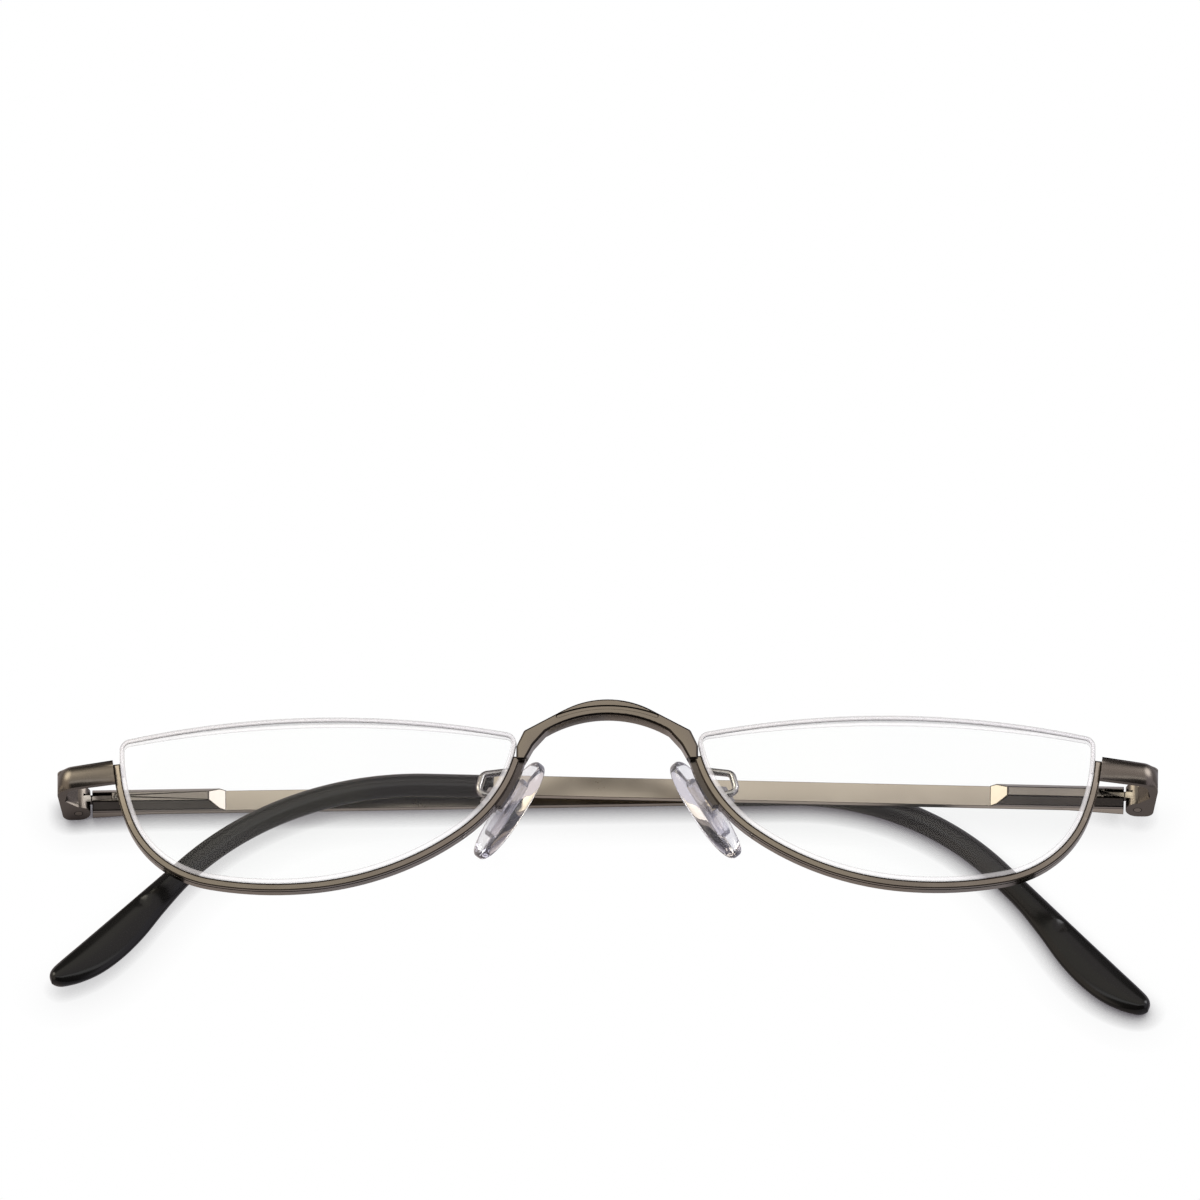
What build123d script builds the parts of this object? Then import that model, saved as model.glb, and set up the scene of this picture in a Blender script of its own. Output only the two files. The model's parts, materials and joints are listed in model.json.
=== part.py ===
from build123d import *
from math import asin, cos, degrees, hypot, isclose, radians, sin, sqrt, tan
import os

# Half eye reading glasses, lying folded on a table with the front facing up.
# X runs to the right, Y away from the viewer, which is up when worn, and Z up, which is forward when worn.
# Lengths are millimetres and angles are degrees.

# The pair as a whole
lens_width = 50.0
lens_height = 22.6
lens_gap = 22.4
endpiece_length = 8.1
temple_length = 146.5
front_tilt = 8.0
lens_wrap = 2.0
fold_lean = 1.3
stack_gap = 0.2
overrun = 1.0

# Lens, ground to a mild plus power: the front is rounder than the back
lens_front_radius = 110.0
lens_back_radius = 160.0
lens_thickness = 2.1
lens_corner_radius = 1.3
lens_drop = 5.9
lens_forward = 10.3
lens_fit = 0.03
bevel_height = 0.35
bevel_setback = 0.4
bevel_width = 0.45

# Metal rim that holds the lower three sides of a lens
rim_wall = 0.9
rim_depth = 1.5
rim_setback = 0.1
rim_short = 4.7
rim_line_width = 0.16
rim_line_depth = 0.14
rim_line_setback = 0.3

# Nylon line that holds the top edge of a lens
cord_width = 0.44
cord_stand = 0.1
cord_tuck = 1.6
cord_fit = 0.02

# Bridge
bridge_above_lens = 3.35
bridge_behind_lens = 0.05
bridge_depth = 2.0
bridge_height = 2.15
bridge_inset = 0.75
bridge_leg_drop = 8.3
bridge_leg_overlap = 0.2
bridge_leg_width = 1.2
bridge_edge_round = 0.3
bridge_slot_width = 0.6
bridge_slot_depth = 0.2

# Endpiece, a bent strap that ends in two hinge ears
endpiece_height = 3.2
strap_thickness = 0.9
side_wall = 1.4
strap_behind_lens = 3.55
strap_drop = 1.15
strap_overlap = 1.2
outer_inset = 2.7
rear_inset = 1.9
corner_round = 2.3
rear_round = 1.1
inner_round = 1.2
ear_slot = 1.1
ear_fit = 0.15
strap_edge_round = 0.25
strap_front_round = 0.55

# Temple
bar_width = 2.9
bar_thickness = 0.8
bar_visible = 81.0
bar_edge_round = 0.2
core_width = 1.5
core_end_back = 17.0
hinge_end_gap = 0.25
end_block_depth = 1.45
end_block_length = 7.0
bend_start = 89.3
bend_radius_left = 34.0
bend_radius_right = 40.0
bend_angle_left = 49.5
bend_angle_right = 47.0

# Spring hinge
box_width = 3.0
box_height = 1.35
box_length = 14.6
box_facet = 2.2
box_chamfer = 0.85
box_slot_length = 2.4
shoulder_length = 0.6
link_height = 0.62
link_thickness = 0.8
link_width = 0.9
link_fit = 0.1
eye_radius = 1.2
eye_thickness = 1.0
eye_fit = 0.05
rod_diameter = 0.4
spring_outside = 0.86
spring_wall = 0.16
spring_closed_length = 4.2
collar_length = 1.2
bore_fit = 0.07
temple_travel = 1.2
box_screw_diameter = 1.1
box_screw_depth = 0.2
box_screw_place = 5.1
slot_width = 0.22
slot_depth = 0.14

# Hinge screw
screw_diameter = 1.1
screw_head_diameter = 1.8
screw_head_depth = 0.5
screw_fit = 0.02

# Sleeve on the end of a temple
tip_thickness = 2.2
tip_edge_round = 0.8
tip_fit = 0.04
tip_width = 3.2
tip_mouth_chamfer = 0.25
paddle_width = 5.1

# Nose pad and the arm that carries it
pad_length = 14.6
pad_width = 6.8
pad_thickness = 1.9
pad_edge_round = 0.7
pad_outset = 1.0
pad_above_lens_middle = 1.9
pad_behind_lens = 6.3
pad_frontal = 31.5
pad_vertical = 11.0
pad_splay = 30.0
insert_length = 8.6
insert_width = 3.2
insert_thickness = 0.7
insert_fit = 0.03
tab_length = 1.5
tab_width = 1.3
tab_height = 1.8
cup_wall = 0.5
cup_length = 2.2
cup_gap = 0.1
pad_axis_back = 1.1
cup_front_gap = 0.35
pad_screw_diameter = 0.8
pad_screw_head_diameter = 1.5
pad_screw_head_depth = 0.4
pad_screw_fit = 0.04
arm_wire = 0.9
arm_loop_width = 4.0
arm_bend = 0.9
arm_foot_wall = 0.6
arm_foot_depth = 1.1
arm_foot_short = 0.4
arm_foot_length = 6.4

# Values that follow from the sizes above
sides = {"left": -1, "right": 1}
bend_radii = {"left": bend_radius_left, "right": bend_radius_right}
bend_angles = {"left": bend_angle_left, "right": bend_angle_right}
half_width = lens_width / 2
half_height = lens_height / 2
lens_x = (lens_gap + lens_width) / 2
hinge_x = lens_gap / 2 + lens_width + endpiece_length - outer_inset
rim_top = half_height - rim_short
rim_back = rim_setback + rim_depth
strap_forward = lens_forward - strap_behind_lens
strap_length = endpiece_length - outer_inset + strap_overlap
bridge_half_span = lens_gap / 2 - bridge_inset
bridge_leg_out = lens_gap / 2 + bridge_leg_overlap
bridge_rise = half_height - lens_drop + bridge_above_lens
pad_apart = lens_gap / 2 + pad_outset
pad_drop = lens_drop - pad_above_lens_middle
pad_forward = lens_forward - pad_behind_lens
arm_foot_top = rim_top - arm_foot_short
axis_to_rear = (bar_thickness + tip_thickness) / 2
stack_rise = bar_thickness + tip_thickness - axis_to_rear + stack_gap
front_roll = degrees(asin(stack_rise / (2 * hinge_x)))
temple_end = axis_to_rear + hinge_end_gap
lens_bow = lens_front_radius - sqrt(lens_front_radius**2 - half_width**2 - half_height**2)
lens_reach = lens_bow + lens_thickness + overrun
box_end = temple_end + box_length + box_facet
bore_start = temple_end + box_slot_length + shoulder_length
bore_diameter = spring_outside + 2 * bore_fit
spring_start = bore_start + link_fit
spring_length = spring_closed_length + temple_travel
collar_start = spring_start + spring_length
bore_end = collar_start + collar_length + link_fit

# Places that carry the pieces: the front as it lies, each hinge in it, and each temple as it is folded
front_place = Location((0, 0, axis_to_rear + stack_rise / 2), (0, -front_roll, 0))
hinge_places = {
    "left": front_place * Location((-hinge_x, 0, 0), (0, 0, fold_lean)),
    "right": front_place * Location((hinge_x, 0, 0), (0, 0, 180 - fold_lean)),
}
temple_places = {
    name: hinge_places[name] * Location((0, 0, 0), (0, -side * front_roll, 0))
    for name, side in sides.items()
}
lens_place = front_place * Location((lens_x, -lens_drop, lens_forward), (front_tilt, lens_wrap, 0))
lens_plane = Plane(lens_place)
mirror_plane = Plane(front_place * Location((0, 0, 0), (0, 90, 0)))


def lens_cut_plane(height):
    return Plane(lens_place * Location((0, height, 0), (-90, 0, 0)))


def side_plane(place):
    return Plane(place * Location((0, 0, 0), (90, 0, 0)))


# Lens edge, seen from the front with the outer side of the face at +X
lens_edge_shares = [
    (-0.992, 0.867),
    (-0.707, -0.335),
    (0.032, -0.988),
    (0.536, -0.894),
    (0.934, -0.104),
    (1.006, 0.867),
]
lens_edge_points = [(across * half_width, along * half_height) for across, along in lens_edge_shares]
lens_side_angle = -85.4
with BuildSketch() as lens_outline:
    with BuildLine():
        start_heading = (cos(radians(lens_side_angle)), sin(radians(lens_side_angle)))
        nasal_run = TangentArc(lens_edge_points[0], lens_edge_points[1], tangent=start_heading)
        edge_run = nasal_run
        for point in lens_edge_points[2:]:
            edge_run = TangentArc(edge_run @ 1, point, tangent=edge_run % 1)
        ThreePointArc(lens_edge_points[-1], (0, half_height), lens_edge_points[0])
    make_face()
    fillet(lens_outline.vertices().group_by(Axis.Y)[-1], lens_corner_radius)

front_ball_place = lens_place * Location((0, 0, -lens_front_radius), (90, 0, 0))
back_ball_place = lens_place * Location((0, 0, -lens_thickness - lens_back_radius), (90, 0, 0))


# A band that follows the lens edge, between two offsets of the edge and two depths behind the lens front
def make_lens_band(outer_grow, inner_grow, front_depth, back_depth):
    with BuildPart() as band:
        with BuildSketch(lens_plane):
            offset(lens_outline.sketch, amount=outer_grow)
            offset(lens_outline.sketch, amount=inner_grow, mode=Mode.SUBTRACT)
        extrude(amount=lens_reach, both=True)
        with Locations(front_ball_place):
            Sphere(lens_front_radius - front_depth, mode=Mode.INTERSECT)
            Sphere(lens_front_radius - back_depth, mode=Mode.SUBTRACT)
    return band


# The whole space inside an offset of the lens edge, from far behind the lens to far in front
def make_lens_column(grow):
    with BuildPart() as column:
        with BuildSketch(lens_plane):
            offset(lens_outline.sketch, amount=grow)
        extrude(amount=lens_reach + lens_forward, both=True)
    return column


# Route of the nylon line: out of the nasal end of the rim, over the lens, and down into the outer end
cord_route_shares = [
    (-0.946, 0.442),
    (-0.966, 0.585),
    (-0.987, 0.856),
    (-0.72, 0.921),
    (-0.48, 0.96),
    (-0.24, 0.984),
    (0, 0.992),
    (0.24, 0.985),
    (0.48, 0.962),
    (0.72, 0.924),
    (1.0, 0.866),
    (0.997, 0.585),
    (0.99, 0.442),
]
cord_inset = cord_width / 2 - cord_stand
cord_corner_radius = lens_corner_radius - cord_inset
cord_arc_share = 0.45
sharp_turn = 45
groove_middle = bevel_setback + bevel_width / 2
bevel_back = bevel_setback + bevel_width


def find_behind_front(across, along, depth):
    sunk = lens_front_radius - sqrt((lens_front_radius - depth) ** 2 - across**2 - along**2)
    return lens_plane.from_local_coords(Vector(across, along, -sunk))


cord_points = [
    find_behind_front(across * half_width, along * half_height, groove_middle)
    for across, along in cord_route_shares
]


# Round the two corners of the lens the line follows the corner's own radius, and elsewhere the arcs are long
def find_arc_radius(before, corner, after):
    run_in = corner - before
    run_out = after - corner
    turn = run_in.get_angle(run_out)
    if turn > sharp_turn:
        return cord_corner_radius
    return cord_arc_share * min(run_in.length, run_out.length) / tan(radians(turn) / 2)


cord_radii = [
    find_arc_radius(cord_points[place - 1], cord_points[place], cord_points[place + 1])
    for place in range(1, len(cord_points) - 1)
]
with BuildLine() as cord_line:
    FilletPolyline(cord_points, radius=cord_radii)


def make_cord(diameter):
    with BuildPart() as cord:
        path = cord_line.wire()
        with BuildSketch(Plane(origin=path @ 0, z_dir=path % 0)):
            Circle(diameter / 2)
        sweep(path=path)
    return cord


# Right lens: a bevel round its lower part, and a groove for the nylon line round its top
cord_end = rim_top - cord_tuck
with BuildPart() as bevel:
    add(make_lens_band(bevel_height, -bevel_height, bevel_setback, bevel_back).part)
    split(bisect_by=lens_cut_plane(cord_end - cord_width), keep=Keep.BOTTOM)

cord_groove = make_cord(cord_width + 2 * cord_fit)
with BuildPart() as lens_right:
    with BuildSketch(lens_plane):
        add(lens_outline.sketch)
    extrude(amount=lens_reach, both=True)
    with Locations(front_ball_place):
        Sphere(lens_front_radius, mode=Mode.INTERSECT)
    with Locations(back_ball_place):
        Sphere(lens_back_radius, mode=Mode.SUBTRACT)
    add(bevel.part)
    add(cord_groove.part, mode=Mode.SUBTRACT)

nylon_cord_right = make_cord(cord_width)

# Right rim: a channel whose inside takes the bevel, with a fine line scribed round its outside
with BuildPart() as rim_right:
    add(make_lens_band(rim_wall, lens_fit, rim_setback, rim_setback + rim_depth).part)
    add(
        make_lens_band(
            bevel_height + lens_fit, -overrun, bevel_setback - lens_fit, bevel_back + lens_fit
        ).part,
        mode=Mode.SUBTRACT,
    )
    add(
        make_lens_band(
            rim_wall + overrun,
            rim_wall - rim_line_depth,
            rim_setback + rim_line_setback,
            rim_setback + rim_line_setback + rim_line_width,
        ).part,
        mode=Mode.SUBTRACT,
    )
    split(bisect_by=lens_cut_plane(rim_top), keep=Keep.BOTTOM)

with BuildPart() as lens_left:
    mirror(lens_right.part, about=mirror_plane)

with BuildPart() as nylon_cord_left:
    mirror(nylon_cord_right.part, about=mirror_plane)

with BuildPart() as rim_left:
    mirror(rim_right.part, about=mirror_plane)

lens_clearance = make_lens_column(cord_stand + lens_fit)
rim_clearance = make_lens_column(rim_wall)

# Bridge: an arch with a shallow slot along its face, whose legs stand on the nasal ends of the rims
bridge_forward = lens_forward - bridge_behind_lens
bridge_place = front_place * Location((0, bridge_rise, bridge_forward), (front_tilt, 0, 0))
# Points of its outline, as shares of its half span and of its height
arch_end_shares = (0.54, -0.72)
shoulder_shares = (1, -2)
under_shoulder_shares = (0.74, -2.06)
leg_inside_share = 2.9
leg_top_share = 3
slot_middle_share = 0.54
slot_end_shares = (0.59, -1.1)
leg_foot_share = 0.9


def find_on_bridge(shares, side):
    return side * shares[0] * bridge_half_span, shares[1] * bridge_height


def draw_leg(side):
    leg_inside = bridge_half_span - bridge_leg_width
    Polyline(
        find_on_bridge(arch_end_shares, side),
        find_on_bridge(shoulder_shares, side),
        (side * bridge_leg_out, -leg_top_share * bridge_height),
        (side * bridge_leg_out, -bridge_leg_drop),
        (side * (bridge_leg_out - leg_foot_share * bridge_leg_width), -bridge_leg_drop),
        (side * leg_inside, -leg_inside_share * bridge_height),
        find_on_bridge(under_shoulder_shares, side),
    )


with BuildPart() as bridge:
    with BuildSketch(Plane(bridge_place)) as bridge_face:
        with BuildLine():
            arch_ends = [find_on_bridge(arch_end_shares, side) for side in (-1, 1)]
            under_ends = [find_on_bridge(under_shoulder_shares, side) for side in (-1, 1)]
            ThreePointArc(arch_ends[0], (0, 0), arch_ends[1])
            ThreePointArc(under_ends[0], (0, -bridge_height), under_ends[1])
            draw_leg(-1)
            draw_leg(1)
        make_face()
        leg_inside_height = -leg_inside_share * bridge_height
        leg_corners = [v for v in bridge_face.vertices() if isclose(v.Y, leg_inside_height)]
        fillet(leg_corners, 2 * bridge_leg_width)
        shoulder_height = shoulder_shares[1] * bridge_height
        shoulders = [v for v in bridge_face.vertices() if isclose(v.Y, shoulder_height)]
        fillet(shoulders, bridge_leg_width / 2)
    extrude(amount=-bridge_depth)
    front_face = bridge.faces().sort_by(Axis(bridge_place.position, Plane(bridge_place).z_dir))[-1]
    fillet(front_face.edges(), bridge_edge_round)
    with BuildSketch(Plane(bridge_place)):
        slot_ends = [find_on_bridge(slot_end_shares, side) for side in (-1, 1)]
        with BuildLine() as slot_line:
            ThreePointArc(slot_ends[0], (0, -slot_middle_share * bridge_height), slot_ends[1])
        SlotArc(slot_line.wire(), bridge_slot_width)
    extrude(amount=bridge_slot_depth, both=True, mode=Mode.SUBTRACT)
    add(lens_clearance.part, mode=Mode.SUBTRACT)
    mirror(lens_clearance.part, about=mirror_plane, mode=Mode.SUBTRACT)
    add(rim_right.part, mode=Mode.SUBTRACT)
    add(rim_left.part, mode=Mode.SUBTRACT)


# Endpiece: a strap that leaves the rim, turns back at the corner and ends in two ears
def make_endpiece(name):
    place = hinge_places[name]
    side_view = side_plane(place)
    strap_corner = strap_forward - strap_drop * outer_inset / strap_length
    corners = [
        (strap_length, strap_forward + strap_drop),
        (-outer_inset, strap_corner),
        (-rear_inset, -axis_to_rear),
        (0, -axis_to_rear),
        (0, axis_to_rear),
        (side_wall - outer_inset, axis_to_rear + side_wall),
        (side_wall - outer_inset, strap_corner - strap_thickness),
        (strap_length, strap_forward + strap_drop - strap_thickness),
    ]
    rounds = [0, corner_round, rear_round, 0, 0, 0, inner_round, 0]
    with BuildPart() as endpiece:
        with BuildSketch(side_view):
            with BuildLine():
                FilletPolyline(corners, radius=rounds, close=True)
            make_face()
            Circle(axis_to_rear)
        extrude(amount=endpiece_height / 2, both=True)
        outline_faces = endpiece.faces().filter_by(Axis(place.position, Plane(place).y_dir))
        front_edges = outline_faces.edges().sort_by(Axis(place.position, Plane(place).z_dir))[-2:]
        fillet(front_edges, strap_front_round)
        with BuildSketch(side_view):
            Circle(eye_radius + ear_fit)
            with Locations((axis_to_rear, 0)):
                Rectangle(2 * axis_to_rear, 2 * (eye_radius + ear_fit))
            with Locations(((axis_to_rear - ear_fit) / 2, -axis_to_rear)):
                Rectangle(axis_to_rear + ear_fit + 2 * eye_radius, 2 * axis_to_rear)
        extrude(amount=ear_slot / 2, both=True, mode=Mode.SUBTRACT)
        with Locations(place * Location((0, 0, 0), (90, 0, 0))):
            Cylinder(screw_diameter / 2 + screw_fit, 2 * endpiece_height, mode=Mode.SUBTRACT)
        head_side = -sides[name]
        with Locations(place * Location((0, head_side * endpiece_height / 2, 0), (90, 0, 0))):
            Cylinder(screw_head_diameter / 2 + screw_fit, 2 * screw_head_depth, mode=Mode.SUBTRACT)
        if name == "right":
            add(rim_clearance.part, mode=Mode.SUBTRACT)
        else:
            mirror(rim_clearance.part, about=mirror_plane, mode=Mode.SUBTRACT)
    return endpiece


# Hinge screw: a slotted head let into the upper ear, and a shank that comes through flush below
def make_hinge_screw(name):
    place = hinge_places[name]
    head_side = -sides[name]
    head_face = head_side * endpiece_height / 2
    with BuildPart() as screw:
        with Locations(place * Location((0, 0, 0), (90, 0, 0))):
            Cylinder(screw_diameter / 2, endpiece_height)
        with Locations(place * Location((0, head_face - head_side * screw_head_depth / 2, 0), (90, 0, 0))):
            Cylinder(screw_head_diameter / 2, screw_head_depth)
        with Locations(place * Location((0, head_face, 0))):
            Box(screw_head_diameter, 2 * slot_depth, slot_width, mode=Mode.SUBTRACT)
    return screw


# Hinge link: an eye between the ears, a flat shank, and a rod that runs through the spring
def make_hinge_link(name):
    place = temple_places[name]
    flat_length = bore_start - link_fit
    rod_length = bore_end - link_fit - flat_length
    with BuildPart() as link:
        with Locations(place * Location((0, 0, 0), (90, 0, 0))):
            Cylinder(eye_radius, eye_thickness)
        with Locations(place * Location((flat_length / 2, 0, link_height))):
            Box(flat_length, link_width, link_thickness)
        with Locations(place * Location((flat_length + rod_length / 2, 0, link_height), (0, 90, 0))):
            Cylinder(rod_diameter / 2, rod_length)
        with Locations(place * Location((0, 0, 0), (90, 0, 0))):
            Cylinder(screw_diameter / 2 + eye_fit, 2 * endpiece_height, mode=Mode.SUBTRACT)
    return link


# Collar riveted on the end of the link's rod, which the spring bears on
def make_spring_collar(name):
    place = temple_places[name] * Location((collar_start + collar_length / 2, 0, link_height), (0, 90, 0))
    with BuildPart() as collar:
        with Locations(place):
            Cylinder(spring_outside / 2, collar_length)
            Cylinder(rod_diameter / 2, 2 * collar_length, mode=Mode.SUBTRACT)
    return collar


# Hinge spring, as the closed tube that its coil fills
def make_hinge_spring(name):
    place = temple_places[name] * Location((spring_start + spring_length / 2, 0, link_height), (0, 90, 0))
    with BuildPart() as spring:
        with Locations(place):
            Cylinder(spring_outside / 2, spring_length)
            Cylinder(spring_outside / 2 - spring_wall, 2 * spring_length, mode=Mode.SUBTRACT)
    return spring


# Spring box: a bevelled housing brazed on the inner face of the temple, split open where the link goes in
def make_spring_box(name):
    place = temple_places[name]
    frame = Plane(place)
    slot_floor = link_height - link_thickness / 2 - link_fit
    with BuildPart() as box:
        with BuildSketch(side_plane(place)):
            with BuildLine():
                facet_top = (temple_end + box_length, box_height)
                Polyline((temple_end, 0), (temple_end, box_height), facet_top, (box_end, 0), close=True)
            make_face()
        extrude(amount=box_width / 2, both=True)
        long_edges = box.edges().filter_by(Axis(place.position, frame.x_dir))
        chamfer(long_edges.group_by(Axis(place.position, frame.z_dir))[-1], box_chamfer)
        with Locations(place * Location((temple_end, 0, slot_floor))):
            Box(
                2 * box_slot_length,
                link_width + 2 * link_fit,
                2 * box_height,
                align=(Align.CENTER, Align.CENTER, Align.MIN),
                mode=Mode.SUBTRACT,
            )
            Box(
                2 * (box_slot_length + shoulder_length),
                link_width + 2 * link_fit,
                link_thickness + 2 * link_fit,
                align=(Align.CENTER, Align.CENTER, Align.MIN),
                mode=Mode.SUBTRACT,
            )
        with Locations(place * Location(((bore_start + bore_end) / 2, 0, link_height), (0, 90, 0))):
            Cylinder(bore_diameter / 2, bore_end - bore_start, mode=Mode.SUBTRACT)
        with Locations(place * Location((box_screw_place, 0, box_height))):
            Cylinder(box_screw_diameter / 2, 2 * box_screw_depth, mode=Mode.SUBTRACT)
    return box


# Box screw: a small slotted head let into the top of the spring box
def make_box_screw(name):
    place = temple_places[name] * Location((box_screw_place, 0, box_height))
    with BuildPart() as screw:
        with Locations(place * Location((0, 0, -box_screw_depth / 2))):
            Cylinder(box_screw_diameter / 2, box_screw_depth)
        with Locations(place):
            Box(slot_width, box_screw_diameter, box_screw_depth, mode=Mode.SUBTRACT)
    return screw


# Centre line of a temple, measured from the hinge axis: straight, round the bend, then straight to the end.
# Sideways is the distance beside it, towards the side that the temple bends to
def find_by_route(name, distance, sideways=0):
    radius = bend_radii[name]
    full_turn = radians(bend_angles[name])
    turned = min(max((distance - bend_start) / radius, 0), full_turn)
    after = max(distance - bend_start - radius * full_turn, 0)
    across = min(distance, bend_start) + radius * sin(turned) + after * cos(turned) - sideways * sin(turned)
    drop = radius * (1 - cos(turned)) + after * sin(turned) + sideways * cos(turned)
    return across, sides[name] * drop


def draw_route(name, start, finish):
    straight = Line((start, 0), (bend_start, 0))
    curve = JernArc(straight @ 1, straight % 1, bend_radii[name], sides[name] * bend_angles[name])
    Line(curve @ 1, find_by_route(name, finish))


# Temple bar: a flat spring bar, a thicker block at the hinge, and a narrow core inside the sleeve
def make_temple_bar(name):
    place = temple_places[name]
    frame = Plane(place)
    bar_run = bar_visible - temple_end
    with BuildPart() as bar:
        with BuildSketch(frame):
            with Locations((temple_end + bar_run / 2, 0)):
                Rectangle(bar_run, bar_width)
        extrude(amount=-bar_thickness)
        with BuildSketch(side_plane(place)):
            with BuildLine():
                block_end = temple_end + end_block_length
                block_foot = (temple_end, -end_block_depth)
                block_back = (block_end, -bar_thickness)
                Polyline((temple_end, 0), block_foot, block_back, (block_end, 0), close=True)
            make_face()
        extrude(amount=bar_width / 2, both=True)
        long_edges = bar.edges().filter_by(Axis(place.position, frame.x_dir))
        fillet(long_edges.group_by(Axis(place.position, frame.z_dir))[0], bar_edge_round)
        with BuildSketch(frame):
            with BuildLine():
                draw_route(name, bar_visible - overrun, temple_length - core_end_back)
            trace(line_width=core_width)
        extrude(amount=-bar_thickness)
    return bar


# Outline of the sleeve from its mouth, along its lower side, round its end and back along its upper side.
# Each point has its share of the sleeve's length, then of its half width and of the paddle's extra width
sleeve_outline_shares = [
    (0, 1, 0),
    (0.12, 1, 0),
    (0.24, 1, 0),
    (0.36, 1, 0),
    (0.48, 1, 0),
    (0.58, 1, 0),
    (0.66, 1, 0.06),
    (0.735, 1, 0.42),
    (0.8, 1, 0.84),
    (0.85, 1, 1),
    (0.89, 1, 0.97),
    (0.925, 1, 0.78),
    (0.963, 1, 0.34),
    (0.986, 0.75, 0),
    (1, -0.1, 0),
    (0.989, -0.84, 0),
    (0.962, -1, 0),
    (0.89, -1, 0),
    (0.8, -1, 0),
    (0.7, -1, 0),
    (0.6, -1, 0),
    (0.48, -1, 0),
    (0.36, -1, 0),
    (0.24, -1, 0),
    (0.12, -1, 0),
    (0, -1, 0),
]


# Sleeve on the end of a temple: it follows the bend and widens on its lower side to a paddle
def make_temple_tip(name):
    place = temple_places[name]
    frame = Plane(place)
    half_tip = tip_width / 2
    outline = [
        find_by_route(
            name,
            bar_visible + (temple_length - bar_visible) * along,
            half_tip * half_share + (paddle_width - tip_width) * grow_share,
        )
        for along, half_share, grow_share in sleeve_outline_shares
    ]
    with BuildPart() as tip:
        with BuildSketch(frame.offset(-bar_thickness / 2)):
            with BuildLine():
                Spline(outline)
                Line(outline[-1], outline[0])
            make_face()
        extrude(amount=tip_thickness / 2, both=True)
        side_edges = tip.edges().filter_by(GeomType.LINE, reverse=True)
        fillet(side_edges, tip_edge_round)
        chamfer(tip.faces().sort_by(Axis(place.position, frame.x_dir))[0].edges(), tip_mouth_chamfer)
        with BuildSketch(Plane(place * Location((0, 0, tip_fit)))):
            with BuildLine():
                draw_route(name, bar_visible - overrun, temple_length - core_end_back + tip_fit)
            trace(line_width=core_width + 2 * tip_fit)
        extrude(amount=-bar_thickness - 2 * tip_fit, mode=Mode.SUBTRACT)
    return tip


# Right nose pad: its long axis leans in at the top, and its face turns towards the nose and the back
front_plane = Plane(front_place)


def front_direction(x, y, z):
    return front_plane.from_local_coords(Vector(x, y, z)) - front_plane.origin


pad_long_axis = front_direction(
    -sin(radians(pad_frontal)) * cos(radians(pad_vertical)),
    cos(radians(pad_frontal)) * cos(radians(pad_vertical)),
    sin(radians(pad_vertical)),
)
pad_outward = front_direction(-cos(radians(pad_splay)), 0, -sin(radians(pad_splay)))
pad_facing = (pad_outward - pad_long_axis * pad_outward.dot(pad_long_axis)).normalized()
pad_centre = front_plane.from_local_coords(Vector(pad_apart, -pad_drop, pad_forward))
pad_plane = Plane(origin=pad_centre, x_dir=pad_long_axis, z_dir=pad_facing)
pad_place = Location(pad_plane)
pad_back = -pad_thickness / 2
pad_axis_place = pad_place * Location((0, 0, pad_back - pad_axis_back), (90, 0, 0))

with BuildPart() as nose_pad_right:
    with BuildSketch(pad_plane):
        SlotOverall(pad_length, pad_width)
    extrude(amount=pad_thickness / 2, both=True)
    fillet(nose_pad_right.edges(), pad_edge_round)
    with BuildSketch(pad_plane.offset(pad_back)):
        SlotOverall(insert_length + 2 * insert_fit, insert_width + 2 * insert_fit)
    extrude(amount=insert_thickness + insert_fit, mode=Mode.SUBTRACT)

with BuildPart() as pad_insert_right:
    with BuildSketch(pad_plane.offset(pad_back)):
        SlotOverall(insert_length, insert_width)
    extrude(amount=insert_thickness)
    with BuildSketch(pad_plane.offset(pad_back)):
        Rectangle(tab_length, tab_width)
    extrude(amount=-tab_height)
    with Locations(pad_axis_place):
        Cylinder(pad_screw_diameter / 2 + pad_screw_fit, 2 * tab_width, mode=Mode.SUBTRACT)

# Right pad arm: a foot brazed along the rim, a wire that loops behind the lens, and a cup for the pad's tab
cup_width = tab_width + 2 * cup_gap + 2 * cup_wall
cup_floor = pad_back - pad_axis_back - hypot(tab_length / 2, tab_height - pad_axis_back) - cup_gap
cup_back = cup_floor - cup_wall
arm_route_shares = [(1.02, 0.33, 0.55), (0.85, 1.05, 0.5), (0.05, 1.22, 0.4)]
arm_end_share = 0.3
with BuildPart() as arm_foot:
    add(make_lens_band(rim_wall + arm_foot_wall, rim_wall, rim_back - arm_foot_depth, rim_back).part)
    split(bisect_by=lens_cut_plane(arm_foot_top), keep=Keep.BOTTOM)
    split(bisect_by=lens_cut_plane(arm_foot_top - arm_foot_length), keep=Keep.TOP)
    split(bisect_by=Plane(lens_place * Location((0, 0, 0), (0, 90, 0))), keep=Keep.BOTTOM)

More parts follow.
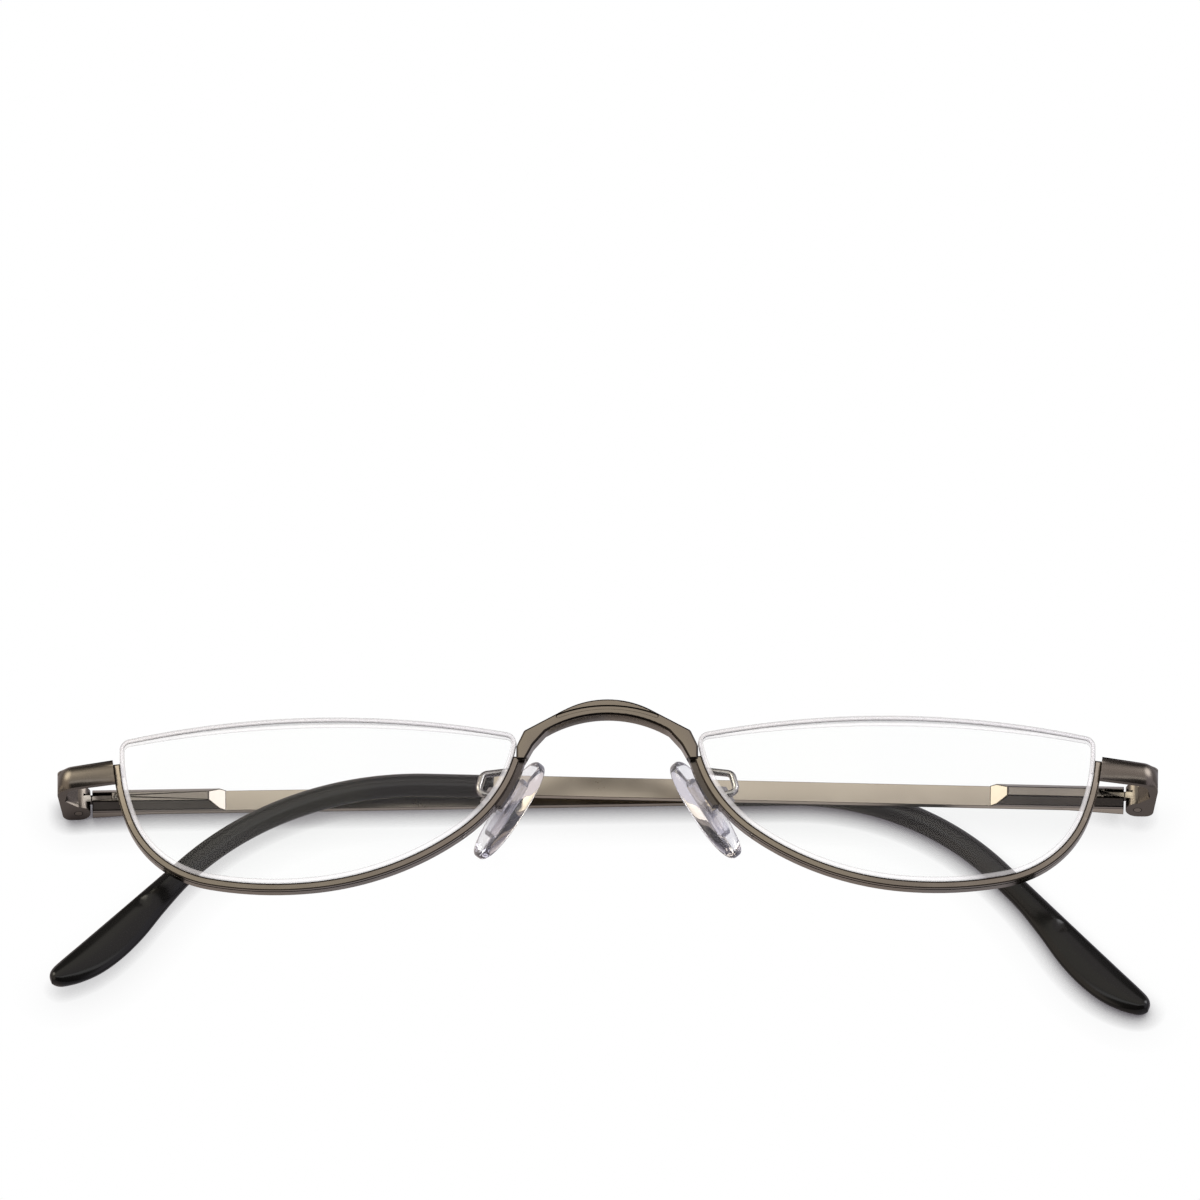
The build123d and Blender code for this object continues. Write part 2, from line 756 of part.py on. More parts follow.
with BuildPart() as pad_arm_right:
    with BuildSketch(pad_plane.offset(pad_back - cup_front_gap)):
        Rectangle(cup_length, cup_width)
    extrude(amount=cup_back - pad_back + cup_front_gap)
    with BuildSketch(pad_plane.offset(pad_back)):
        Rectangle(2 * cup_length, tab_width + 2 * cup_gap)
    extrude(amount=cup_floor - pad_back, mode=Mode.SUBTRACT)
    with Locations(pad_axis_place):
        Cylinder(pad_screw_diameter / 2, 2 * cup_width, mode=Mode.SUBTRACT)
    with BuildLine():
        arm_start = pad_plane.from_local_coords(Vector(0, 0, cup_floor - cup_wall / 2))
        arm_middle = Vector(pad_apart, -pad_drop, pad_forward)
        arm_corners = [
            front_plane.from_local_coords(arm_middle + Vector(*shares) * arm_loop_width)
            for shares in arm_route_shares
        ]
        rim_point = nasal_run @ arm_end_share
        outwards = Vector(0, 0, 1).cross(nasal_run % arm_end_share) * -(rim_wall + arm_foot_wall / 2)
        foot_point = rim_point + outwards
        arm_end = find_behind_front(foot_point.X, foot_point.Y, rim_back - arm_foot_depth / 2)
        arm_line = FilletPolyline([arm_start] + arm_corners + [arm_end], radius=arm_bend)
    with BuildSketch(Plane(origin=arm_line @ 0, z_dir=arm_line % 0)):
        Circle(arm_wire / 2)
    sweep(path=arm_line)
    add(rim_right.part, mode=Mode.SUBTRACT)
    add(arm_foot.part)

# Pad screw: it crosses the cup and the tab, and the pad rocks on it
with BuildPart() as pad_screw_right:
    with Locations(pad_axis_place):
        Cylinder(pad_screw_diameter / 2, cup_width)
    with Locations(pad_axis_place * Location((0, 0, cup_width / 2 + pad_screw_head_depth / 2))):
        Cylinder(pad_screw_head_diameter / 2, pad_screw_head_depth)
    with Locations(pad_axis_place * Location((0, 0, cup_width / 2 + pad_screw_head_depth))):
        Box(slot_width, pad_screw_head_diameter, 2 * slot_depth, mode=Mode.SUBTRACT)

with BuildPart() as nose_pad_left:
    mirror(nose_pad_right.part, about=mirror_plane)

with BuildPart() as pad_insert_left:
    mirror(pad_insert_right.part, about=mirror_plane)

with BuildPart() as pad_arm_left:
    mirror(pad_arm_right.part, about=mirror_plane)

with BuildPart() as pad_screw_left:
    mirror(pad_screw_right.part, about=mirror_plane)

pieces = {
    "bridge": bridge,
    "rim_left": rim_left,
    "rim_right": rim_right,
    "lens_left": lens_left,
    "lens_right": lens_right,
    "nylon_cord_left": nylon_cord_left,
    "nylon_cord_right": nylon_cord_right,
    "pad_arm_left": pad_arm_left,
    "pad_arm_right": pad_arm_right,
    "pad_screw_left": pad_screw_left,
    "pad_screw_right": pad_screw_right,
    "nose_pad_left": nose_pad_left,
    "nose_pad_right": nose_pad_right,
    "pad_insert_left": pad_insert_left,
    "pad_insert_right": pad_insert_right,
}
makers = {
    "endpiece": make_endpiece,
    "hinge_screw": make_hinge_screw,
    "hinge_link": make_hinge_link,
    "spring_collar": make_spring_collar,
    "hinge_spring": make_hinge_spring,
    "spring_box": make_spring_box,
    "box_screw": make_box_screw,
    "temple_bar": make_temple_bar,
    "temple_tip": make_temple_tip,
}
for name in sides:
    for piece_name, maker in makers.items():
        pieces[piece_name + "_" + name] = maker(name)

# The pair stands on its lowest point, with the middle of its length and depth over the origin
boxes = [piece.part.bounding_box() for piece in pieces.values()]
low_x, high_x = min(box.min.X for box in boxes), max(box.max.X for box in boxes)
low_y, high_y = min(box.min.Y for box in boxes), max(box.max.Y for box in boxes)
to_origin = Location((-(low_x + high_x) / 2, -(low_y + high_y) / 2, -min(box.min.Z for box in boxes)))

os.makedirs("parts", exist_ok=True)
for piece_name, piece in pieces.items():
    piece.part.move(to_origin)
    piece.part.label = piece_name
    export_step(piece.part, f"parts/{piece_name}.step")

print("box", low_x, high_x, low_y, high_y, "moved by", to_origin.position)
for name in sides:
    hinge = Plane(to_origin * temple_places[name])
    print(name, "hinge at", hinge.origin, "axis", hinge.y_dir, "slide", hinge.x_dir)
pad_hinge = Plane(to_origin * pad_axis_place)
print("right pad axis at", pad_hinge.origin, "direction", pad_hinge.z_dir)
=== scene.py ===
import json
from math import copysign, cos, hypot, pi, radians, sin, sqrt

import bmesh
import bpy
from mathutils import Matrix, Vector
from mathutils.kdtree import KDTree


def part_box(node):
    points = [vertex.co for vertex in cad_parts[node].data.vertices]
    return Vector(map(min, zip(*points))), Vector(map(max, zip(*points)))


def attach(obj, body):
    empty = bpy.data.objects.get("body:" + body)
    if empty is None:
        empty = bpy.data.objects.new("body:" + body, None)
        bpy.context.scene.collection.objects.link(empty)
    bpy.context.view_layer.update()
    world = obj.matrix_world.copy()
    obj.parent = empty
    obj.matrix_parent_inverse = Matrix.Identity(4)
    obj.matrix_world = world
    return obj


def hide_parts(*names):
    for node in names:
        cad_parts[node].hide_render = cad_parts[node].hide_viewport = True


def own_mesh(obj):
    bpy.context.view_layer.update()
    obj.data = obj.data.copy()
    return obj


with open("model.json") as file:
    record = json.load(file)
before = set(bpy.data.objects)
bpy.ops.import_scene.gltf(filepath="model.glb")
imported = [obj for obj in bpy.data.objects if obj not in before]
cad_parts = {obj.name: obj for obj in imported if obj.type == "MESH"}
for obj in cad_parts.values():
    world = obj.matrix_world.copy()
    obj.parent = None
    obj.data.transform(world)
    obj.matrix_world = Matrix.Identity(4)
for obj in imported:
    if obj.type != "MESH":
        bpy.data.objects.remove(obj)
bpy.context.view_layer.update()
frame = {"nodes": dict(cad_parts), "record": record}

# Half eye reading glasses, folded on a white table with the front facing up.
# Lengths are metres, so a size in mm is multiplied by mm.
mm = 0.001
sides = {"left": -1, "right": 1}
nodeBody = {node: body for body, nodes in frame["record"]["behaviour"]["bodies"].items() for node in nodes}
slotOf = {part["node"]: part["material_slot"] for part in frame["record"]["subparts"]}
joints = {joint["name"]: joint for joint in frame["record"]["behaviour"]["joints"]}


def makePlace(*columns):     # three directions and an origin
    place = Matrix.Identity(4)
    for column, direction in enumerate(columns):
        for row in range(3):
            place[row][column] = direction[row]
    return place


# Frame of the front: halfway between the hinges, X along the line through them
leftHinge = Vector(joints["left_temple_fold"]["pos_m"])
rightHinge = Vector(joints["right_temple_fold"]["pos_m"])
alongFront = (rightHinge - leftHinge).normalized()
upFront = Vector((0, 1, 0))
betweenHinges = (leftHinge + rightHinge) / 2
frontFrame = makePlace(alongFront, upFront, alongFront.cross(upFront), betweenHinges)


# A wire is a socket that can be added, multiplied and so on, and a paint makes the nodes of one material
class Wire:
    def __init__(self, paint, socket):
        self.paint, self.socket = paint, socket

    def maths(self, operation, first, second=0.0, clamp=False):
        settings = {"operation": operation, "use_clamp": clamp}
        return self.paint.wire("ShaderNodeMath", settings, {0: first, 1: second})

    def __add__(self, other):
        return self.maths("ADD", self, other)

    def __sub__(self, other):
        return self.maths("SUBTRACT", self, other)

    def __rsub__(self, other):
        return self.maths("SUBTRACT", other, self)

    def __mul__(self, other):
        return self.maths("MULTIPLY", self, other)

    def __truediv__(self, other):
        return self.maths("DIVIDE", self, other)

    def __pow__(self, other):
        return self.maths("POWER", self, other)

    def __abs__(self):
        return self.maths("ABSOLUTE", self)

    __radd__, __rmul__ = __add__, __mul__

    def clamped(self):
        return self.maths("ADD", self, 0.0, clamp=True)

    def rise(self, low, high):     # 0 below low, 1 above high, smooth between
        limits = {"Value": self, "From Min": low, "From Max": high}
        return self.paint.wire("ShaderNodeMapRange", {"interpolation_type": "SMOOTHSTEP"}, limits)


class Paint:
    def __init__(self, tree):
        self.tree = tree
        tree.nodes.clear()

    def node(self, kind, settings=None, inputs=None):
        made = self.tree.nodes.new(kind)
        for key, value in (settings or {}).items():
            setattr(made, key, value)
        for key, value in (inputs or {}).items():
            socket = made.inputs[key]
            if isinstance(value, Wire):
                self.tree.links.new(value.socket, socket)
            elif isinstance(value, bpy.types.NodeSocket):
                self.tree.links.new(value, socket)
            else:
                socket.default_value = value
        return made

    def wire(self, kind, settings=None, inputs=None, output=0):
        return Wire(self, self.node(kind, settings, inputs).outputs[output])

    def mix(self, amount, first, second):
        inputs = {0: amount, 6: first, 7: second}
        inputs = {key: (*value, 1) if isinstance(value, tuple) else value for key, value in inputs.items()}
        return self.wire("ShaderNodeMix", {"data_type": "RGBA"}, inputs, output=2)

    def blend(self, amount, first, second):
        return self.node("ShaderNodeMixShader", {}, {0: amount, 1: first.outputs[0], 2: second.outputs[0]})

    def noise(self, scale, detail=2.0):
        place = self.wire("ShaderNodeTexCoord", output="Object")
        return self.wire("ShaderNodeTexNoise", {}, {"Vector": place, "Scale": scale, "Detail": detail})

    def bump(self, height, strength, depth):
        return self.wire("ShaderNodeBump", {}, {"Strength": strength, "Distance": depth, "Height": height})


def newMaterial(name):
    material = bpy.data.materials.new(name)
    material.use_nodes = True
    return material, Paint(material.node_tree)


def finishMaterial(paint, settings):
    shader = paint.node("ShaderNodeBsdfPrincipled", {}, settings)
    paint.node("ShaderNodeOutputMaterial", {}, {"Surface": shader.outputs[0]})


# Camera, looking down on the front at the photograph's angle
camera = {
    "distance": 2000 * mm,
    "elevation": 57.0,
    "roll": 0.2,
    "fromBridge": (-0.98 * mm, 22.66 * mm),     # point looked at, from the middle of the bridge's top edge
    "fieldWidth": 152.4 * mm,
    "sensor": 36.0,
    "farthest": 10.0,
}


def addCamera():
    data = bpy.data.cameras.new("camera")
    data.sensor_width = camera["sensor"]
    data.lens = camera["sensor"] * camera["distance"] / camera["fieldWidth"]
    data.clip_end = camera["farthest"]
    bridgeLow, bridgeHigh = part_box("bridge")
    across, along = camera["fromBridge"]
    target = Vector(((bridgeLow[0] + bridgeHigh[0]) / 2 + across, bridgeHigh[1] + along, 0))
    tilt = Matrix.Rotation(radians(90 - camera["elevation"]), 4, "X")
    aim = tilt @ Matrix.Rotation(radians(camera["roll"]), 4, "Z")
    eye = bpy.data.objects.new("camera", data)
    eye.matrix_world = Matrix.Translation(target) @ aim @ Matrix.Translation((0, 0, camera["distance"]))
    bpy.context.scene.collection.objects.link(eye)
    bpy.context.scene.camera = eye


# Studio: a soft ceiling and a bright strip overhead, a panel and a spot at each end, a pale table below
# Front and back are where a light starts and ends, as distance away over height
studio = {
    "room": (0.09, 0.085, 0.09),
    "ceilingLeft": (1.5, 1.43, 1.3),
    "ceilingRight": (1.25, 1.17, 1.17),
    "ceilingFront": (-0.05, 0.1),
    "ceilingBack": (0.95, 1.25),
    "turnOver": (-0.04, 0.04),
    "strip": (2.6, 2.6, 2.6),
    "stripFront": (-0.36, -0.24),
    "stripBack": (-0.1, 0.02),
    "panelLeft": (1.5, 1.33, 1.15),
    "panelRight": (1.15, 1.1, 1.25),
    "panelEdge": (0.5, 0.66),
    "panelFoot": (0.02, 0.12),
    "spotLeft": (7.0, 6.6, 5.6),
    "spotRight": (7.0, 7.0, 7.2),
    "spotAt": (0.66, 0.52, 0.54),     # direction, the same on both sides
    "spotEdge": (0.93, 0.985),
    "tableLeft": (0.72, 0.64, 0.62),
    "tableRight": (0.64, 0.61, 0.66),
    "tableEdge": (-0.05, 0.02),
    "leastHeight": 0.02,
}


def addStudio():
    world = bpy.data.worlds.new("studio")
    world.use_nodes = True
    bpy.context.scene.world = world
    paint = Paint(world.node_tree)
    direction = paint.wire("ShaderNodeTexCoord", output="Generated")
    split = paint.node("ShaderNodeSeparateXYZ", {}, {0: direction})
    across, away, height = (Wire(paint, split.outputs[axis]) for axis in "XYZ")
    lean = away / height.maths("MAXIMUM", height, studio["leastHeight"])
    ceiling = lean.rise(*studio["ceilingFront"]) * (1 - lean.rise(*studio["ceilingBack"]))
    strip = lean.rise(*studio["stripFront"]) * (1 - lean.rise(*studio["stripBack"]))
    toRight = across.rise(*studio["turnOver"])
    ceilingColour = paint.mix(toRight, studio["ceilingLeft"], studio["ceilingRight"])
    panel = abs(across).rise(*studio["panelEdge"]) * height.rise(*studio["panelFoot"])
    panelColour = paint.mix(toRight, studio["panelLeft"], studio["panelRight"])
    spotAcross, spotAway, spotUp = studio["spotAt"]
    spot = (abs(across) * spotAcross + away * spotAway + height * spotUp).rise(*studio["spotEdge"])
    spotColour = paint.mix(toRight, studio["spotLeft"], studio["spotRight"])
    colour = paint.mix(ceiling, studio["room"], ceilingColour)
    colour = paint.mix(strip, colour, studio["strip"])
    colour = paint.mix(panel, colour, panelColour)
    colour = paint.mix(spot, colour, spotColour)
    tableColour = paint.mix(toRight, studio["tableLeft"], studio["tableRight"])
    colour = paint.mix(height.rise(*studio["tableEdge"]), tableColour, colour)
    # What the camera sees, also through glass, is plain white. Reflections and light come from the studio
    path = paint.node("ShaderNodeLightPath")
    seen = Wire(paint, path.outputs["Is Camera Ray"]) + Wire(paint, path.outputs["Is Transmission Ray"])
    room = paint.node("ShaderNodeBackground", {}, {"Color": colour})
    white = paint.node("ShaderNodeBackground", {}, {"Color": (1, 1, 1, 1)})
    both = paint.blend(seen.clamped(), room, white)
    paint.node("ShaderNodeOutputWorld", {}, {"Surface": both.outputs[0]})


lamps = {
    "key": {"at": (0.15, 0.45, 0.95), "size": 0.35, "power": 3.0},
    "fill": {"at": (-0.7, -0.2, 0.8), "size": 0.25, "power": 1.0},
}


def addLamp(name, at, size, power):     # aimed at the middle of the table
    data = bpy.data.lights.new(name, "AREA")
    data.shape = "DISK"
    data.size = size
    data.energy = power
    lamp = bpy.data.objects.new(name, data)
    lamp.location = at
    lamp.visible_glossy = False     # the studio makes the reflections
    lamp.rotation_euler = (-Vector(at)).to_track_quat("-Z", "Y").to_euler()
    bpy.context.scene.collection.objects.link(lamp)


# Table top: clear over the plain white, with a shade near the glasses, so that opened temples show below it
table = {
    "size": 1.6,
    "lightFrom": (0.0, 0.7, 0.71),
    "contact": {"reach": 2.3 * mm, "depth": 0.95},
    "soft": {"reach": 5.5 * mm, "depth": 0.24},
    "shade": (0.06, 0.05, 0.065),
    "samples": 6,
}


def addTable():
    bpy.ops.mesh.primitive_plane_add(size=table["size"], location=(0, 0, 0))
    top = bpy.context.object
    top.name = "tableTop"
    material, paint = newMaterial("tableWhite")
    lean = paint.wire("ShaderNodeCombineXYZ", {}, dict(enumerate(table["lightFrom"])))
    shade = 0.0
    for layer in (table["contact"], table["soft"]):
        settings = {"samples": table["samples"], "only_local": False}
        inputs = {"Distance": layer["reach"], "Normal": lean}
        openness = paint.wire("ShaderNodeAmbientOcclusion", settings, inputs, output="AO")
        shade = shade + (1 - openness) * layer["depth"]
    clear = paint.node("ShaderNodeBsdfTransparent")
    dark = paint.node("ShaderNodeEmission", {}, {"Color": (*table["shade"], 1)})
    both = paint.blend(shade.clamped(), clear, dark)
    paint.node("ShaderNodeOutputMaterial", {}, {"Surface": both.outputs[0]})
    top.data.materials.append(material)
    top.visible_shadow = False


# Plated metal: warm grey brown, with a cloudy satin finish and fine grain
metalTexture = {
    "cloudScale": 220,
    "cloudGloss": 0.1,
    "grainScale": 5200,
    "grainDetail": 3.0,
    "grainGloss": 0.06,
    "evenGloss": 0.08,
    "bump": (0.02, 0.02 * mm),
}
gunmetal = {
    "front": {"dark": (0.150, 0.130, 0.106), "pale": (0.190, 0.166, 0.137), "roughness": 0.2},
    # the endpiece strap, the same plating darkened as painted shade
    "strap": {"dark": (0.092, 0.080, 0.068), "pale": (0.120, 0.104, 0.088), "roughness": 0.28},
    "bar": {"dark": (0.34, 0.305, 0.25), "pale": (0.42, 0.38, 0.32), "roughness": 0.3},
    "box": {"dark": (0.21, 0.19, 0.165), "pale": (0.27, 0.245, 0.215), "roughness": 0.33},
    # the pad arm's foot, the same plating darkened as painted shade
    "foot": {"dark": (0.045, 0.040, 0.037), "pale": (0.085, 0.075, 0.068), "roughness": 0.25},
    "wire": {"dark": (0.13, 0.12, 0.11), "pale": (0.40, 0.39, 0.38), "roughness": 0.25},
    # near black, for the painted shade along the edges of the plated pieces
    "line": {"dark": (0.014, 0.011, 0.009), "pale": (0.030, 0.025, 0.021), "roughness": 0.25},
}


def makeGunmetal(name, dark, pale, roughness):
    material, paint = newMaterial("gunmetal" + name.title())
    cloud = paint.noise(metalTexture["cloudScale"])
    grain = paint.noise(metalTexture["grainScale"], metalTexture["grainDetail"])
    shown = paint.mix(cloud, dark, pale)
    rough = cloud * metalTexture["cloudGloss"] + grain * metalTexture["grainGloss"]
    rough = rough + roughness - metalTexture["evenGloss"]
    height = paint.bump(grain, *metalTexture["bump"])
    finishMaterial(paint, {"Base Color": shown, "Metallic": 1.0, "Roughness": rough, "Normal": height})
    return material


# Steel of the screws and springs: brighter than the plated metal, with cloudy wear
steelTexture = {
    "cloudScale": 900,
    "rough": 0.1,
    "cloudGloss": 0.14,
    "grainScale": 2400,
    "bump": (0.2, 0.05 * mm),
}
steelLook = {
    "bright": {"dark": (0.32, 0.30, 0.27), "pale": (0.62, 0.60, 0.56)},
    "link": {"dark": (0.04, 0.036, 0.031), "pale": (0.15, 0.135, 0.115)},
}


def makeSteel(name, dark, pale):
    material, paint = newMaterial("steel" + name.title())
    cloud = paint.noise(steelTexture["cloudScale"])
    shown = paint.mix(cloud, dark, pale)
    height = paint.bump(paint.noise(steelTexture["grainScale"]), *steelTexture["bump"])
    rough = cloud * steelTexture["cloudGloss"] + steelTexture["rough"]
    finishMaterial(paint, {"Base Color": shown, "Metallic": 1.0, "Roughness": rough, "Normal": height})
    return material


# Dark plastic of the sleeves
sleeveLook = {
    "cloudScale": 160,
    "dark": (0.0028, 0.0026, 0.0024),
    "pale": (0.0045, 0.0043, 0.004),
    "rough": 0.16,
    "cloudGloss": 0.06,
    "gloss": 0.2,
    "grainScale": 2600,
    "grainDetail": 4.0,
    "bump": (0.0005, 0.03 * mm),
}


def makeSleevePlastic():
    material, paint = newMaterial("sleevePlastic")
    cloud = paint.noise(sleeveLook["cloudScale"])
    grain = paint.noise(sleeveLook["grainScale"], sleeveLook["grainDetail"])
    settings = {"Base Color": paint.mix(cloud, sleeveLook["dark"], sleeveLook["pale"])}
    settings["Roughness"] = cloud * sleeveLook["cloudGloss"] + sleeveLook["rough"]
    settings["Specular IOR Level"] = sleeveLook["gloss"]
    settings["Normal"] = paint.bump(grain, *sleeveLook["bump"])
    finishMaterial(paint, settings)
    return material


# See-through pieces: clear, with something milky in the body, more of it edge on, and a gloss
# Inner is the gloss left on the faces seen from inside, which the lenses don't show
clearTexture = {
    "cloudScale": 260,
    "rough": 0.015,
    "cloudGloss": 0.03,
    "edgeBlend": 0.4,
    "even": 0.75,
    "cloudy": 0.5,
}
seeThrough = {
    "lensClear": {"tint": (0.99, 0.993, 0.992), "milk": (0.9, 0.9, 0.9)},
    "lensWall": {"tint": (0.96, 0.96, 0.97), "milk": (0.44, 0.45, 0.465)},
    "lensRing": {"tint": (0.97, 0.97, 0.98), "milk": (0.70, 0.69, 0.71)},
    "lensLine": {"tint": (0.95, 0.95, 0.96), "milk": (0.42, 0.415, 0.42)},
    "nylon": {"tint": (0.95, 0.95, 0.96), "milk": (0.62, 0.61, 0.62)},
    "padSilicone": {"tint": (0.985, 0.985, 0.995), "milk": (0.60, 0.60, 0.67)},
    "padCore": {"tint": (0.95, 0.95, 0.97), "milk": (0.50, 0.50, 0.57)},
}
seeThrough["lensClear"].update(body=0.0, edge=0.0, index=1.36, inner=0.0)
seeThrough["lensWall"].update(body=0.4, edge=0.2, index=1.2, inner=0.0)
seeThrough["lensRing"].update(body=0.35, edge=0.1, index=1.3, inner=0.0)
seeThrough["lensLine"].update(body=0.5, edge=0.2, index=1.2, inner=0.0)
seeThrough["nylon"].update(body=0.3, edge=0.4, index=1.3, inner=1.0)
seeThrough["padSilicone"].update(body=0.04, edge=0.5, index=1.36, inner=1.0)
seeThrough["padCore"].update(body=0.15, edge=0.5, index=1.4, inner=1.0)


def makeSeeThrough(name, tint, milk, body, edge, index, inner):
    material, paint = newMaterial(name)
    cloud = paint.noise(clearTexture["cloudScale"])
    rough = cloud * clearTexture["cloudGloss"] + clearTexture["rough"]
    clear = paint.node("ShaderNodeBsdfTransparent", {}, {"Color": (*tint, 1)})
    milky = paint.node("ShaderNodeBsdfDiffuse", {}, {"Color": (*milk, 1)})
    gloss = {"Base Color": (1, 1, 1, 1), "Metallic": 1.0, "Roughness": rough}
    mirror = paint.node("ShaderNodeBsdfPrincipled", {}, gloss)
    edgeOn = paint.wire("ShaderNodeLayerWeight", {}, {"Blend": clearTexture["edgeBlend"]}, output="Facing")
    amount = edgeOn**2 * edge + cloud * body * clearTexture["cloudy"] + body * clearTexture["even"]
    filled = paint.blend(amount.clamped(), clear, milky)
    fromInside = paint.wire("ShaderNodeNewGeometry", output="Backfacing")
    shine = paint.wire("ShaderNodeFresnel", {}, {"IOR": index}) * (1 - fromInside * (1 - inner))
    both = paint.blend(shine, filled, mirror)
    paint.node("ShaderNodeOutputMaterial", {}, {"Surface": both.outputs[0]})
    return material


# A CAD node stays hidden behind a finished copy: merged and shaded smooth up to an angle
finish = {"merge": 0.002 * mm, "smoothAngle": 35}


def startCopy(node):
    form = bmesh.new()
    form.from_mesh(frame["nodes"][node].data)
    bmesh.ops.remove_doubles(form, verts=form.verts, dist=finish["merge"])
    return form


def shadeSmooth(form, angle):
    for face in form.faces:
        face.smooth = True
    for edge in form.edges:
        if len(edge.link_faces) == 2:
            edge.smooth = edge.calc_face_angle(pi) < radians(angle)


def finishPiece(form, name, node, *materials, angle=finish["smoothAngle"], crisp=()):
    shadeSmooth(form, angle)
    crisp = set(crisp)     # faces with a sharp edge all round them
    for edge in {edge for face in crisp for edge in face.edges}:
        edge.smooth = edge.smooth and all(face in crisp for face in edge.link_faces)
    mesh = bpy.data.meshes.new(name)
    form.to_mesh(mesh)
    form.free()
    for material in materials:
        mesh.materials.append(material)
    piece = bpy.data.objects.new(name, mesh)
    bpy.context.scene.collection.objects.link(piece)
    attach(piece, nodeBody[node])
    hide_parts(node)
    return piece


def copyNode(node, *materials):
    return finishPiece(startCopy(node), node + "Finished", node, *materials)


# Facetted pieces: flat faces with crisp edges, and a near-black line of painted shade along each edge
facets = {
    "line": {"temple_bar": 0.06 * mm, "spring_box": 0.15 * mm, "hinge_screw": 0.09 * mm},
    "leastArea": 0.8 * mm**2,
    "flatAngle": 0.5,
    "smoothAngle": 20,
}


def makeFacetted(node, kind, material):
    form = startCopy(node)
    bmesh.ops.dissolve_limit(
        form, angle_limit=radians(facets["flatAngle"]), verts=form.verts, edges=form.edges
    )
    flat = [face for face in form.faces if face.calc_area() > facets["leastArea"]]
    line = facets["line"][kind]
    lines = bmesh.ops.inset_individual(form, faces=flat, thickness=line, depth=0, use_even_offset=False)
    for face in lines["faces"]:
        face.material_index = 1
    return finishPiece(form, node + "Finished", node, material, paintedEdgeShade, angle=facets["smoothAngle"])


# Front faces of the bridge and rims: a near-black line of painted shade runs along each edge, and round the
# bridge's slot
border = {
    "rim": {
        "width": 0.17 * mm,
        "leastFacing": 0.95,
        "smoothAngle": 60,
        "mostFacing": 0.3,
        "reach": 1.5 * mm,
        "leastAlike": 0.7,
    },
    "bridge": {
        "width": 0.13 * mm,
        "leastFacing": 0.985,
        "smoothAngle": 25,
        "leastEdge": 0.3,
        "floorDepth": (0.1 * mm, 0.3 * mm),
    },
}


def makeBordered(node, kind):
    form = startCopy(node)
    form.normal_update()
    look = border[kind]
    tilt = Matrix.Rotation(radians(lens["tilt"]), 3, "X")
    front = frontFrame.to_3x3() @ tilt @ Vector((0, 0, 1))
    faces = [face for face in form.faces if face.normal.dot(front) > look["leastFacing"]]
    crisp = list(faces)
    if kind == "bridge":     # its slanting edges are dark, and its slot's floor lies a little lower
        # the bridge's slanting faces take the painted edge shade
        for face in form.faces:
            if look["leastEdge"] < face.normal.dot(front) < look["leastFacing"]:
                face.material_index = 1
        level = max(faces, key=lambda face: face.calc_area()).calc_center_median().dot(front)
        least, most = look["floorDepth"]
        faces = [face for face in faces if least < level - face.calc_center_median().dot(front) < most]
    even = kind == "rim"
    strip = bmesh.ops.inset_region(
        form, faces=faces, thickness=look["width"], depth=0, use_even_offset=even, use_boundary=True
    )
    for face in strip["faces"]:
        face.material_index = 1
    crisp += strip["faces"]
    angle = look["smoothAngle"]
    piece = finishPiece(form, node + "Finished", node, metal, paintedEdgeShade, angle=angle, crisp=crisp)
    if kind == "rim":
        evenSides(piece.data, front)
    return piece


def evenSides(mesh, front):     # each corner of the rim's walls takes the mean normal of the wall near it
    look = border["rim"]
    sideFaces = [face for face in mesh.polygons if abs(face.normal.dot(front)) < look["mostFacing"]]
    tree = KDTree(len(sideFaces))
    for index, face in enumerate(sideFaces):
        tree.insert(face.center, index)
    tree.balance()
    normals = [Vector() for _ in mesh.loops]
    for face in sideFaces:
        for loop in face.loop_indices:
            corner = mesh.vertices[mesh.loops[loop].vertex_index].co
            near = [sideFaces[index] for _, index, _ in tree.find_range(corner, look["reach"])]
            near = [other for other in near if other.normal.dot(face.normal) > look["leastAlike"]]
            mean = sum((other.normal * other.area for other in near), face.normal * face.area)
            normals[loop] = (mean - front * mean.dot(front)).normalized()
    mesh.normals_split_custom_set(normals)


# Pad arm: the foot beside the rim is darkened as painted shade, darker than the wire and cup behind it
padArm = {"footDepth": 1.4 * mm}


def makePadArm(node):
    form = startCopy(node)
    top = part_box(node)[1][2]
    for face in form.faces:
        if face.calc_center_median().z < top - padArm["footDepth"]:
            face.material_index = 1
    return finishPiece(form, node + "Finished", node, metals["foot"], metals["wire"])


def squareOff(part, square):     # a circle's share, pushed out towards a rounded square's
    return copysign(abs(part) ** (2 / square), part)


def smoothStep(value):
    value = min(max(value, 0), 1)
    return value * value * (3 - 2 * value)


# Nose pad: an oval, crowned towards the nose
pad = {
    "apart": 12.2 * mm,
    "drop": 4.0 * mm,
    "forward": 4.0 * mm,
    "halfLength": 7.25 * mm,
    "halfWidth": 3.38 * mm,
    "halfThickness": 0.9 * mm,
    "crown": 0.35 * mm,
    "frontal": 31.5,
    "vertical": 11.0,
    "splay": 30.0,
    "segments": 56,
    "rings": 28,
    "square": 2.35,
    "edge": 0.42,
    "smoothAngle": 70,
}


